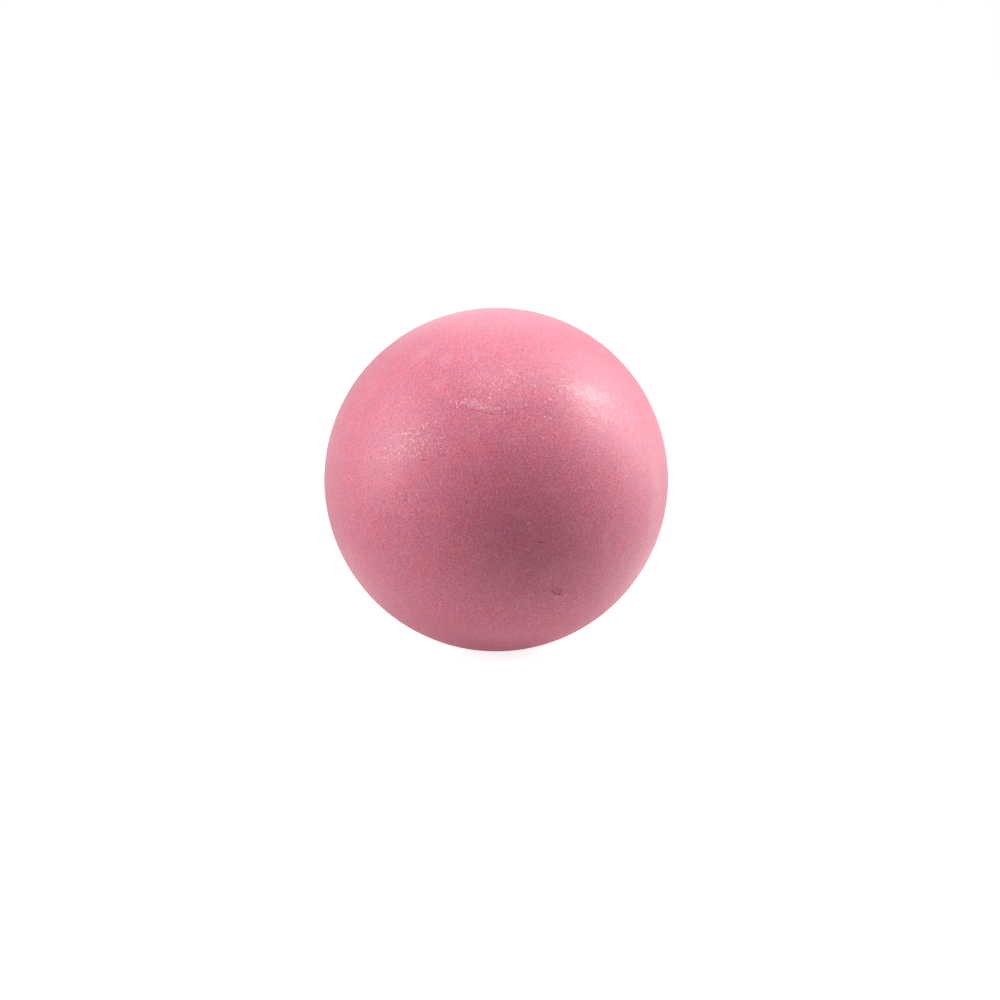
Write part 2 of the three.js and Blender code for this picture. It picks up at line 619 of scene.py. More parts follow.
    def colour(
        self, surface: Surface, powder: bpy.types.NodeSocket
    ) -> bpy.types.NodeSocket:
        """Builds the colour: broad mottling, the grain's painted light and shade, powder, painted
        glints and the marks.

        Args:
            surface: the point being shaded.
            powder: how much powder, partly painted highlight, lies there.

        Returns:
            The colour.
        """
        sheet = surface.sheet
        place = surface.place
        broad = sheet.noise(place, self.mottle_size, detail=5.0).outputs[0]
        broad = sheet.ramp(broad, 0.40, 0.68, 0.0, self.mottle_tint)
        colour = sheet.mixed(broad, self.pink, self.mauve)
        tints = sheet.noise(place, self.blotch_size, detail=2.0).outputs["Color"]
        for tint, tone in zip(sheet.parts(tints), (self.salmon, self.mauve)):
            blotch = sheet.ramp(tint, *self.blotch_range, 0.0, self.blotch_tint)
            colour = sheet.mixed(blotch, colour, tone)
        # Painted highlight on the grain's raised parts and painted shade in its low parts, from the
        # same noise as the relief
        fine = sheet.noise(place, self.grain_size, detail=2.0).outputs[0]
        for end, gain, tone in ((0.75, 1.8, self.painted_crest_highlight), (0.25, 1.3, self.shade)):
            grain = sheet.ramp(fine, 0.50, end, 0.0, self.grain_painted_light * gain)
            colour = sheet.mixed(grain, colour, tone)
        # Painted highlight on each pebble's crown and painted shade in the hollows between, stronger
        # where the relief stands out more
        crown, hollow = self.pebbles(surface)
        plain = self.roughened(surface)
        tones = ((crown, self.pebble_painted_highlight, self.painted_crest_highlight), (hollow, self.hollow_painted_shade, self.shade))
        for share, tint, tone in tones:
            share = sheet.math("MULTIPLY", sheet.math("MULTIPLY", share, tint), plain)
            colour = sheet.mixed(share, colour, tone)
        # Powder and bloom, with painted highlight and sheen on some of the pale patches
        colour = sheet.mixed(powder, colour, self.pale)
        colour = sheet.mixed(surface.mask(MarkKind.STAIN), colour, self.stain)
        # Painted glints: pale dots that stand in for the gloss of single grains
        colour = sheet.mixed(self.glints(surface), colour, self.glint)
        colour = sheet.mixed(surface.mask(MarkKind.GRIT), colour, self.pale)
        # Pigment specks, with painted shade in the nicks and along the creases
        specks_and_painted_shade = self.far_specks(surface)
        darkened = (
            (MarkKind.SPECK, 1.0),
            (MarkKind.NICK, self.nick_painted_shade),
            (MarkKind.CREASE, self.crease_painted_shade),
        )
        for kind, share in darkened:
            specks_and_painted_shade = sheet.math("MAXIMUM", specks_and_painted_shade, surface.mask(kind, share))
        return sheet.mixed(specks_and_painted_shade, colour, self.dark)

    def dusted(self, surface: Surface) -> bpy.types.NodeSocket:
        """Spreads the dust that lightens the ball at a glancing angle: little lies underneath.

        Args:
            surface: the point being shaded.

        Returns:
            The weight of the sheen.
        """
        height = surface.sheet.parts(surface.place)[2]
        least = self.sheen * self.sheen_below
        return surface.sheet.ramp(height, *self.sheen_heights, least, self.sheen)

    def roughened(self, surface: Surface) -> bpy.types.NodeSocket:
        """Tells where the pebbles stand out, and where their painted light and shade are stronger:
        in rubbed places, and less near the seam.

        Args:
            surface: the point being shaded.

        Returns:
            How plain the pebbles are, 1 on most of the ball.
        """
        sheet = surface.sheet
        at_seam = 0.8
        from_seam = sheet.math("ABSOLUTE", sheet.parts(surface.place)[2])
        share = sheet.ramp(from_seam, self.buffed * 0.3, self.buffed * 1.5, at_seam, 1.0)
        return sheet.math("ADD", share, surface.mask(MarkKind.RUBBED_WITH_PAINTED_GLINTS, self.rubbed_relief))

    def pebbles(
        self, surface: Surface
    ) -> tuple[bpy.types.NodeSocket, bpy.types.NodeSocket]:
        """Lays out the pebbles, each of its own height.

        Args:
            surface: the point being shaded.

        Returns:
            How near the crown of a pebble the point is, and how deep in a hollow.
        """
        sheet = surface.sheet
        cells = sheet.cells(surface.place, self.pebble_size)
        crown_edge, crown_core = 0.48, 0.08
        hollow_edge, hollow_core = 0.40, 0.72
        lowest = 0.2
        from_crown = cells.outputs["Distance"]
        chance = sheet.parts(cells.outputs["Color"])[2]
        tall = sheet.math("MULTIPLY_ADD", chance, 1.0 - lowest, lowest)
        crown = sheet.math("MULTIPLY", sheet.ramp(from_crown, crown_edge, crown_core), tall)
        hollow = sheet.ramp(from_crown, hollow_edge, hollow_core)
        return crown, hollow

    def glints(self, surface: Surface) -> bpy.types.NodeSocket:
        """Scatters painted glints, pale dots for the gloss of single grains, thickly where the
        surface is rubbed and thinly elsewhere.

        Args:
            surface: the point being shaded.

        Returns:
            How much of a painted glint lies there.
        """
        sheet = surface.sheet
        cells = sheet.cells(surface.place, self.glint_size)
        edge, core = 0.46, 0.12
        loose, most_rubbed = 0.3, 1.6
        rarest, more_when_rubbed, fade = 0.99, -0.28, 0.06
        dot = sheet.ramp(cells.outputs["Distance"], edge, core)
        chance = sheet.parts(cells.outputs["Color"])[0]
        swarm = sheet.noise(surface.place, self.swarm_size, detail=1.0).outputs[0]
        thick = sheet.math("MINIMUM", surface.mask(MarkKind.RUBBED_WITH_PAINTED_GLINTS), most_rubbed)
        thick = sheet.math("MAXIMUM", thick, sheet.ramp(swarm, 0.56, 0.8, 0.0, loose))
        limit = sheet.math("MULTIPLY_ADD", thick, more_when_rubbed, rarest)
        chosen = sheet.ramp(chance, limit, sheet.math("ADD", limit, fade))
        return sheet.math("MULTIPLY", sheet.math("MULTIPLY", dot, chosen), self.glint_cover)

    def far_specks(self, surface: Surface) -> bpy.types.NodeSocket:
        """Scatters a few pigment specks over the side that the picture doesn't show.

        Args:
            surface: the point being shaded.

        Returns:
            How much of a speck lies there.
        """
        sheet = surface.sheet
        spacing = 9 * MM
        edge, core = 0.26 * MM, 0.12 * MM
        darkness = 0.7
        left_out = 0.55
        far_side = 2 * MM
        cells = sheet.cells(surface.place, spacing)
        dot = sheet.ramp(cells.outputs["Distance"], edge / spacing, core / spacing, 0.0, darkness)
        chosen = sheet.math("GREATER_THAN", sheet.parts(cells.outputs["Color"])[1], left_out)
        behind = sheet.math("GREATER_THAN", sheet.parts(surface.place)[1], far_side)
        return sheet.math("MULTIPLY", dot, sheet.math("MULTIPLY", chosen, behind))

    def gloss(
        self, surface: Surface, powder: bpy.types.NodeSocket
    ) -> bpy.types.NodeSocket:
        """Builds the roughness: powder dulls the rubber, and rubbing polishes it.

        Args:
            surface: the point being shaded.
            powder: how much powder, partly painted highlight, lies there.

        Returns:
            The roughness.
        """
        sheet = surface.sheet
        patches = sheet.noise(surface.place, self.patch_size, detail=2.0).outputs[0]
        least = self.roughness - self.patchiness / 2
        rough = sheet.math("MULTIPLY_ADD", patches, self.patchiness, least)
        rough = sheet.math("MULTIPLY_ADD", powder, self.powder_dulling, rough)
        return sheet.math("SUBTRACT", rough, surface.mask(MarkKind.RUBBED_WITH_PAINTED_GLINTS, self.rubbed_polish))

    def relief(self, surface: Surface) -> bpy.types.NodeSocket:
        """Builds the fine relief: grain, pebbles, a slow ripple, the creases and the nicks.

        Args:
            surface: the point being shaded.

        Returns:
            The bumped normal.
        """
        sheet = surface.sheet
        place = surface.place
        grain = sheet.noise(place, self.grain_size, detail=2.0).outputs[0]
        height = sheet.math("MULTIPLY", grain, self.grain_depth)
        crown, hollow = self.pebbles(surface)
        height = sheet.math("MULTIPLY_ADD", crown, self.pebble_depth, height)
        hollow_share = 0.5
        height = sheet.math("MULTIPLY_ADD", hollow, -self.pebble_depth * hollow_share, height)
        peel = sheet.noise(place, self.peel_size, detail=1.0).outputs[0]
        height = sheet.math("MULTIPLY_ADD", peel, self.peel_depth, height)
        height = sheet.math("MULTIPLY", height, self.roughened(surface))
        creases = surface.mask(MarkKind.CREASE, self.crease_depth)
        dents = sheet.math("ADD", surface.mask(MarkKind.NICK, self.nick_depth), creases)
        height = sheet.math("SUBTRACT", height, dents)
        bump = sheet.fed("ShaderNodeBump", {"Height": height, "Distance": 1.0, "Strength": 1.0})
        return bump.outputs[0]


# Nearly the rubber's own finish, because the seam hardly shows on the ball
CEMENT = RubberFinish(
    pink=(0.700, 0.162, 0.243),
    mauve=(0.660, 0.166, 0.265),
    salmon=(0.738, 0.156, 0.225),
    roughness=0.47,
    grain_depth=0.0012 * MM,
    pebble_depth=0.0024 * MM,
)


@dataclass(frozen=True)
class Seam:
    """Sizes of the cemented joint between the half shells.

    Args:
        cement: thickness of the cement between the rims.
        bevel: how much is buffed off each rim's outer edge.
        inset: how far the cement stays below the ball's surface.
        chamfer: the moulded chamfer on each rim's inner edge.
        bulge: how far the squeezed-out bead stands into the gas space.
    """

    cement: float = 0.16 * MM
    bevel: float = 0.12 * MM
    inset: float = 0.005 * MM
    chamfer: float = 0.9 * MM
    bulge: float = 0.7 * MM


@dataclass(frozen=True)
class BallSizes:
    """The ball's main sizes.

    Args:
        radius: the outer radius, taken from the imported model.
        wall: the wall's thickness.
        seam: the cemented joint.
    """

    radius: float
    wall: float = 3.8 * MM
    seam: Seam = field(default_factory=Seam)

    def inner_radius(self) -> float:
        """Radius of the gas space."""
        return self.radius - self.wall

    def rim_points(self) -> list[tuple[float, float]]:
        """Works out the corners of a half shell's rim.

        Returns:
            The four corners, as radius and height, from the inside to the outside.
        """
        half = self.seam.cement / 2
        bevel_top = half + self.seam.bevel
        chamfer_top = half + self.seam.chamfer
        return [
            (math.sqrt(self.inner_radius() ** 2 - chamfer_top**2), chamfer_top),
            (self.inner_radius() + self.seam.chamfer, half),
            (self.radius - self.seam.bevel, half),
            (math.sqrt(self.radius**2 - bevel_top**2), bevel_top),
        ]

    def cement_points(self, bead_steps: int = 8) -> list[tuple[float, float]]:
        """Outline of the cement, as radius and height, once round from the lip's upper edge.

        Args:
            bead_steps: how many steps the bead's upper half has.

        Returns:
            The outline's points, without a repeat of the first.
        """
        chamfer_top, land_inner, land_outer, bevel_top = self.rim_points()
        reach = 1 - self.seam.inset / self.seam.bevel
        lip = tuple(a + reach * (b - a) for a, b in zip(land_outer, bevel_top))
        bead = []
        for step in range(bead_steps + 1):
            angle = step / bead_steps * math.pi / 2
            bead.append(
                (
                    chamfer_top[0] - self.seam.bulge * math.sin(angle),
                    chamfer_top[1] * math.cos(angle),
                )
            )
        upper = [lip, land_outer, land_inner, *bead]
        lower = [(radius, -height) for radius, height in reversed(upper[:-1])]
        return upper + lower


SHARP_EDGE = math.radians(28)  # edges that turn more than this are left sharp
WELD_REACH = 0.002 * MM  # points nearer to each other than this become one


class Side(Enum):
    """Which half of the ball a shell is."""

    UPPER = 0.0
    LOWER = math.pi


class TurnedTree:
    """A geometry tree for a piece turned about the Z axis, with named inputs for its sizes."""

    def __init__(self, name: str, sizes: dict[str, tuple[str, object]]) -> None:
        """Makes the empty tree with its inputs and output.

        Args:
            name: the tree's name.
            sizes: for each named input, its socket type and its value.
        """
        self.sizes = sizes
        self.group = bpy.data.node_groups.new(name, "GeometryNodeTree")
        self.identifiers = {}
        for label, (socket_type, _) in sizes.items():
            item = self.group.interface.new_socket(label, in_out="INPUT", socket_type=socket_type)
            self.identifiers[label] = item.identifier
        self.group.interface.new_socket(
            "Geometry", in_out="OUTPUT", socket_type="NodeSocketGeometry"
        )
        self.sheet = NodeSheet(self.group)
        self.inputs = self.sheet.add("NodeGroupInput").outputs
        self.position = self.sheet.add("GeometryNodeInputPosition").outputs[0]

    def moved(
        self,
        geometry: bpy.types.NodeSocket,
        position: bpy.types.NodeSocket,
    ) -> bpy.types.NodeSocket:
        """Puts every point of a geometry at a worked-out position.

        Args:
            geometry: the shape.
            position: the position of each point.

        Returns:
            The changed shape.
        """
        node = self.sheet.fed(
            "GeometryNodeSetPosition", {"Geometry": geometry, "Position": position}
        )
        return node.outputs[0]

    def joined(self, *pieces: bpy.types.NodeSocket) -> bpy.types.NodeSocket:
        """Joins geometries into one.

        Args:
            pieces: the geometries.

        Returns:
            The whole.
        """
        node = self.sheet.add("GeometryNodeJoinGeometry")
        for piece in pieces:
            self.sheet.tree.links.new(piece, node.inputs[0])
        return node.outputs[0]

    def welded(self, geometry: bpy.types.NodeSocket) -> bpy.types.NodeSocket:
        """Merges points that lie on each other.

        Args:
            geometry: the shape.

        Returns:
            The shape with its seams closed.
        """
        node = self.sheet.fed(
            "GeometryNodeMergeByDistance", {"Geometry": geometry, "Distance": WELD_REACH}
        )
        return node.outputs[0]

    def flipped(self, geometry: bpy.types.NodeSocket) -> bpy.types.NodeSocket:
        """Turns every face round."""
        return self.sheet.fed("GeometryNodeFlipFaces", {"Mesh": geometry}).outputs[0]

    def strip(
        self, count: object, start: tuple[object, object], end: tuple[object, object]
    ) -> bpy.types.NodeSocket:
        """Turns a straight line about the Z axis into a band.

        Args:
            count: how many faces go round.
            start: the line's first point, as radius and height.
            end: its last point.

        Returns:
            The band, facing the right-hand side of the line as it turns towards +Y.
        """
        sheet = self.sheet
        grid = sheet.fed(
            "GeometryNodeMeshGrid",
            {
                "Size X": 2.0,
                "Size Y": 1.0,
                "Vertices X": sheet.math("ADD", count, 1.0),
                "Vertices Y": 2,
            },
        )
        turn, share, _ = sheet.parts(self.position)
        turn = sheet.math("MULTIPLY", turn, math.pi)
        share = sheet.math("ADD", share, 0.5)
        radius, height = (
            sheet.math("MULTIPLY_ADD", share, sheet.math("SUBTRACT", b, a), a)
            for a, b in zip(start, end)
        )
        place = sheet.combined(
            sheet.math("MULTIPLY", radius, sheet.math("COSINE", turn)),
            sheet.math("MULTIPLY", radius, sheet.math("SINE", turn)),
            height,
        )
        return self.moved(grid.outputs["Mesh"], place)

    def finish(
        self, geometry: bpy.types.NodeSocket, material: bpy.types.NodeSocket
    ) -> None:
        """Ends the tree: smooth shading, real geometry and the material.

        Args:
            geometry: the finished shape.
            material: the material input.
        """
        sheet = self.sheet
        edge_angle = sheet.add("GeometryNodeInputMeshEdgeAngle").outputs["Unsigned Angle"]
        gentle = sheet.math("LESS_THAN", edge_angle, SHARP_EDGE)
        smooth = sheet.fed(
            "GeometryNodeSetShadeSmooth",
            {"Geometry": geometry, "Shade Smooth": True},
        )
        sharp = sheet.fed(
            "GeometryNodeSetShadeSmooth",
            {"Geometry": smooth.outputs[0], "Shade Smooth": gentle},
            domain="EDGE",
        )
        real = sheet.fed("GeometryNodeRealizeInstances", {"Geometry": sharp.outputs[0]})
        dressed = sheet.fed(
            "GeometryNodeSetMaterial", {"Geometry": real.outputs[0], "Material": material}
        )
        sheet.fed("NodeGroupOutput", {"Geometry": dressed.outputs[0]})

    def made(self, name: str) -> bpy.types.Object:
        """Runs the tree once and keeps the result as a plain mesh.

        Args:
            name: the piece's name.

        Returns:
            The piece, at the origin, with no modifier.
        """
        piece = bpy.data.objects.new(name, bpy.data.meshes.new(name))
        bpy.context.scene.collection.objects.link(piece)
        modifier = piece.modifiers.new("shape", "NODES")
        modifier.node_group = self.group
        for label, (_, value) in self.sizes.items():
            modifier[self.identifiers[label]] = value
        depsgraph = bpy.context.evaluated_depsgraph_get()
        mesh = bpy.data.meshes.new_from_object(piece.evaluated_get(depsgraph))
        mesh.name = name
        piece.modifiers.remove(modifier)
        piece.data = mesh
        return piece


@dataclass
class HalfShell:
    """One moulded cup of the ball, with its rim.

    Args:
        node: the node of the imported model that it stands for.
        side: which half it is.
        sizes: the ball's sizes.
        rubber: its material.
        skin_divisions: faces along each quarter turn of the outside.
        wall_divisions: faces along each quarter turn of the inside.
        lump_size: how wide the gentle lumps of the moulding are.
        lump_depth: how deep they are.
        rim_fade: how far above the rim they reach their full depth.
        pole_fade: how far below the pole they reach their full depth.
        seed: which pattern of lumps it has.
    """

    node: str
    side: Side
    sizes: BallSizes
    rubber: bpy.types.Material
    skin_divisions: int = 172
    wall_divisions: int = 36
    lump_size: float = 7 * MM
    lump_depth: float = 0.06 * MM
    rim_fade: float = 2.5 * MM
    pole_fade: float = 1.0 * MM
    seed: float = 1.0

    def build(self) -> bpy.types.Object:
        """Builds the shell's closed mesh.

        Returns:
            The shell.
        """
        rim = self.sizes.rim_points()
        sizes = {
            "Outer Radius": ("NodeSocketFloat", self.sizes.radius),
            "Inner Radius": ("NodeSocketFloat", self.sizes.inner_radius()),
            "Chamfer Top Radius": ("NodeSocketFloat", rim[0][0]),
            "Chamfer Top Height": ("NodeSocketFloat", rim[0][1]),
            "Land Inner Radius": ("NodeSocketFloat", rim[1][0]),
            "Land Height": ("NodeSocketFloat", rim[1][1]),
            "Land Outer Radius": ("NodeSocketFloat", rim[2][0]),
            "Bevel Top Radius": ("NodeSocketFloat", rim[3][0]),
            "Bevel Top Height": ("NodeSocketFloat", rim[3][1]),
            "Skin Divisions": ("NodeSocketInt", self.skin_divisions),
            "Wall Divisions": ("NodeSocketInt", self.wall_divisions),
            "Lump Size": ("NodeSocketFloat", self.lump_size),
            "Lump Depth": ("NodeSocketFloat", self.lump_depth),
            "Seed": ("NodeSocketFloat", self.seed),
            "Half Turn": ("NodeSocketFloat", self.side.value),
            "Rubber": ("NodeSocketMaterial", self.rubber),
        }
        tree = TurnedTree(self.node + "_shape", sizes)
        given = tree.inputs
        outside = self.dome(tree, given["Skin Divisions"])
        outside = self.latitude_spread(
            tree, outside, given["Outer Radius"], given["Bevel Top Height"]
        )
        outside = self.lumps(tree, outside)
        inside = self.dome(tree, given["Wall Divisions"])
        inside = self.latitude_spread(
            tree, inside, given["Inner Radius"], given["Chamfer Top Height"]
        )
        whole = tree.joined(outside, tree.flipped(inside), *self.rim_bands(tree))
        turned = tree.sheet.fed(
            "GeometryNodeTransform",
            {
                "Geometry": tree.welded(whole),
                "Rotation": tree.sheet.combined(given["Half Turn"], 0.0, 0.0),
            },
        )
        tree.finish(turned.outputs[0], given["Rubber"])
        return tree.made(self.node + "_skin")

    def dome(
        self, tree: TurnedTree, divisions: bpy.types.NodeSocket
    ) -> bpy.types.NodeSocket:
        """Makes a unit dome of even faces: a cap and four sides, as on a rounded cube.

        Args:
            tree: the shell's tree.
            divisions: faces along each quarter turn.

        Returns:
            The dome, facing out, with its edge in the seam plane.
        """
        sheet = tree.sheet
        points = sheet.math("ADD", divisions, 1.0)
        half_points = sheet.math("MULTIPLY_ADD", divisions, 0.5, 1.0)
        x, y, _ = sheet.parts(tree.position)
        eighth = math.pi / 4
        across = sheet.math("TANGENT", sheet.math("MULTIPLY", x, eighth))
        cap = sheet.fed(
            "GeometryNodeMeshGrid",
            {"Size X": 2.0, "Size Y": 2.0, "Vertices X": points, "Vertices Y": points},
        )
        up_cap = sheet.math("TANGENT", sheet.math("MULTIPLY", y, eighth))
        cap_place = sheet.vector_math("NORMALIZE", sheet.combined(across, up_cap, 1.0))
        side = sheet.fed(
            "GeometryNodeMeshGrid",
            {"Size X": 2.0, "Size Y": 1.0, "Vertices X": points, "Vertices Y": half_points},
        )
        up_side = sheet.math("MULTIPLY", sheet.math("ADD", y, 0.5), eighth)
        up_side = sheet.math("TANGENT", up_side)
        side_place = sheet.vector_math("NORMALIZE", sheet.combined(1.0, across, up_side))
        quarter = sheet.math(
            "MULTIPLY", sheet.add("GeometryNodeInputIndex").outputs[0], math.pi / 2
        )
        corners = sheet.fed(
            "GeometryNodeMeshLine", {"Count": 4, "Offset": (0.0, 0.0, 0.0)}, mode="OFFSET"
        )
        sides = sheet.fed(
            "GeometryNodeInstanceOnPoints",
            {
                "Points": corners.outputs[0],
                "Instance": tree.moved(side.outputs["Mesh"], side_place),
                "Rotation": sheet.combined(0.0, 0.0, quarter),
            },
        )
        real = sheet.fed("GeometryNodeRealizeInstances", {"Geometry": sides.outputs[0]})
        cap = tree.moved(cap.outputs["Mesh"], cap_place)
        return tree.welded(tree.joined(cap, real.outputs[0]))

    def latitude_spread(
        self,
        tree: TurnedTree,
        dome: bpy.types.NodeSocket,
        radius: bpy.types.NodeSocket,
        edge_height: bpy.types.NodeSocket,
    ) -> bpy.types.NodeSocket:
        """Sizes a unit dome and lifts its edge to the rim, closing up the latitudes evenly.

        Args:
            tree: the shell's tree.
            dome: the unit dome.
            radius: the radius that it gets.
            edge_height: how high above the seam plane its edge ends.

        Returns:
            The sized dome.
        """
        sheet = tree.sheet
        x, y, z = sheet.parts(tree.position)
        level = sheet.vector_math("NORMALIZE", sheet.combined(x, y, 0.0))
        first = sheet.math("ARCSINE", sheet.math("DIVIDE", edge_height, radius))
        share = sheet.math("DIVIDE", sheet.math("ARCSINE", z), math.pi / 2)
        left = sheet.math("SUBTRACT", math.pi / 2, first)
        latitude = sheet.math("MULTIPLY_ADD", share, left, first)
        flat = sheet.scaled(level, sheet.math("COSINE", latitude))
        raised = sheet.combined(0.0, 0.0, sheet.math("SINE", latitude))
        unit = sheet.vector_math("ADD", flat, raised)
        return tree.moved(dome, sheet.scaled(unit, radius))

    def lumps(
        self, tree: TurnedTree, skin: bpy.types.NodeSocket
    ) -> bpy.types.NodeSocket:
        """Presses gentle lumps into the outside, fading out at the rim and at the pole.

        Args:
            tree: the shell's tree.
            skin: the outside.

        Returns:
            The lumpy outside, nowhere outside the ball's own size.
        """
        sheet = tree.sheet
        given = tree.inputs
        shift = sheet.scaled((1.0, 1.0, 1.0), given["Seed"])
        shifted = sheet.vector_math("ADD", tree.position, shift)
        broad = sheet.fed(
            "ShaderNodeTexNoise",
            {
                "Vector": shifted,
                "Scale": sheet.math("DIVIDE", 1.0, given["Lump Size"]),
                "Detail": 2.5,
                "Roughness": 0.5,
            },
        ).outputs[0]
        height = sheet.parts(tree.position)[2]
        above_rim = sheet.math("SUBTRACT", height, given["Bevel Top Height"])
        from_rim = sheet.ramp(above_rim, 0.0, self.rim_fade)
        below_pole = sheet.math("SUBTRACT", given["Outer Radius"], height)
        from_pole = sheet.ramp(below_pole, 0.0, self.pole_fade)
        depth = sheet.math("MULTIPLY", broad, given["Lump Depth"])
        depth = sheet.math("MULTIPLY", depth, sheet.math("MULTIPLY", from_rim, from_pole))
        inward = sheet.scaled(
            sheet.vector_math("NORMALIZE", tree.position), sheet.math("MULTIPLY", depth, -1.0)
        )
        return tree.moved(skin, sheet.vector_math("ADD", tree.position, inward))

    def rim_bands(self, tree: TurnedTree) -> list[bpy.types.NodeSocket]:
        """Makes the rim: the chamfer, the flat land and the bevel.

        Args:
            tree: the shell's tree.

        Returns:
            The three bands, facing out.
        """
        sheet = tree.sheet
        given = tree.inputs
        around = sheet.math("MULTIPLY", given["Skin Divisions"], 4.0)
        around_inside = sheet.math("MULTIPLY", given["Wall Divisions"], 4.0)
        land_inner = (given["Land Inner Radius"], given["Land Height"])
        land_outer = (given["Land Outer Radius"], given["Land Height"])
        chamfer = tree.strip(
            around_inside,
            (given["Chamfer Top Radius"], given["Chamfer Top Height"]),
            land_inner,
        )
        bevel = tree.strip(
            around, land_outer, (given["Bevel Top Radius"], given["Bevel Top Height"])
        )
        circles = [
            sheet.fed("GeometryNodeCurvePrimitiveCircle", {"Resolution": count, "Radius": size})
            for count, size in ((around, land_outer[0]), (around_inside, land_inner[0]))
        ]
        land = sheet.fed(
            "GeometryNodeFillCurve",
            {"Curve": tree.joined(*(circle.outputs[0] for circle in circles))},
        )
        lifted = sheet.fed(
            "GeometryNodeTransform",
            {
                "Geometry": tree.flipped(land.outputs[0]),
                "Translation": sheet.combined(0.0, 0.0, given["Land Height"]),
            },
        )
        return [chamfer, lifted.outputs[0], bevel]

    def dress(self, shell: bpy.types.Object) -> None:
        """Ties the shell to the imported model.

        Args:
            shell: the built shell.
        """
        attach(shell, BODY)
        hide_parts(self.node)


@dataclass
class CementRing:
    """The cured cement between the rims.

    Args:
        node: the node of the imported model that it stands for.
        sizes: the ball's sizes.
        cement: its material.
        divisions: faces around.
    """

    node: str
    sizes: BallSizes
    cement: bpy.types.Material
    divisions: int = 688

    def build(self) -> bpy.types.Object:
        """Builds the ring's closed mesh from one band for each side of its outline.

        Returns:
            The ring.
        """
        sizes = {
            "Divisions": ("NodeSocketInt", self.divisions),
            "Cement": ("NodeSocketMaterial", self.cement),
        }
        tree = TurnedTree(self.node + "_shape", sizes)
        outline = self.sizes.cement_points()
        bands = [
            tree.strip(tree.inputs["Divisions"], start, end)
            for start, end in zip(outline, outline[1:] + outline[:1])
        ]
        whole = tree.welded(tree.joined(*bands))
        tree.finish(tree.flipped(whole), tree.inputs["Cement"])
        return tree.made(self.node + "_band")

    def dress(self, ring: bpy.types.Object) -> None:
        """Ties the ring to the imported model.

        Args:
            ring: the built ring.
        """
        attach(ring, BODY)
        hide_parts(self.node)


@dataclass(frozen=True)
class Lamp:
    """A soft square lamp that points at the ball.

    Args:
        name: what it is called.
        azimuth: degrees round the ball from the camera's side towards +X.
        elevation: degrees above level.
        power: its power in watts.
        distance: how far it is from the ball.
        side: its side length.
    """

    name: str
    azimuth: float
    elevation: float
    power: float
    distance: float = 0.8
    side: float = 0.35

    def place(self) -> bpy.types.Object:
        """Puts the lamp in the scene.

        Returns:
            The lamp.
        """
        data = bpy.data.lights.new(self.name, "AREA")
        data.shape = "SQUARE"
        data.size = self.side
        data.energy = self.power
        lamp = bpy.data.objects.new(self.name, data)
        lamp.location = self.distance * heading(self.azimuth, self.elevation)
        lamp.rotation_euler = (-lamp.location).to_track_quat("-Z", "Y").to_euler()
        bpy.context.scene.collection.objects.link(lamp)
        return lamp


@dataclass(frozen=True)
class Viewpoint:
    """The photograph's camera.

    Args:
        elevation: degrees above level.
        lens: focal length in millimetres.
        sensor: the sensor's width in millimetres.
        picture_width: the picture's width in pixels.
        outline_radius: radius of the ball's outline in pixels.
        outline_centre: the outline's centre in pixels, from the top left.
    """

    elevation: float = 13.0
    lens: float = 100.0
    sensor: float = 36.0
    picture_width: float = 1000.0
    outline_radius: float = 172.1
    outline_centre: tuple[float, float] = (496.2, 479.5)

    def place(self, radius: float) -> bpy.types.Object:
        """Puts the camera where the ball's outline falls as in the photograph.

        Args:
            radius: the ball's radius.

        Returns:
            The camera.
        """
        data = bpy.data.cameras.new("camera")
        data.lens = self.lens
        data.sensor_width = self.sensor
        focal_pixels = self.lens / self.sensor * self.picture_width
        distance = radius / math.sin(math.atan(self.outline_radius / focal_pixels))
        middle = self.picture_width / 2
        data.shift_x = (middle - self.outline_centre[0]) / self.picture_width
        data.shift_y = (self.outline_centre[1] - middle) / self.picture_width
        camera = bpy.data.objects.new("camera", data)
        camera.location = distance * heading(0.0, self.elevation)
        camera.rotation_euler = (-camera.location).to_track_quat("-Z", "Y").to_euler()
        bpy.context.scene.collection.objects.link(camera)
        bpy.context.scene.camera = camera
        return camera


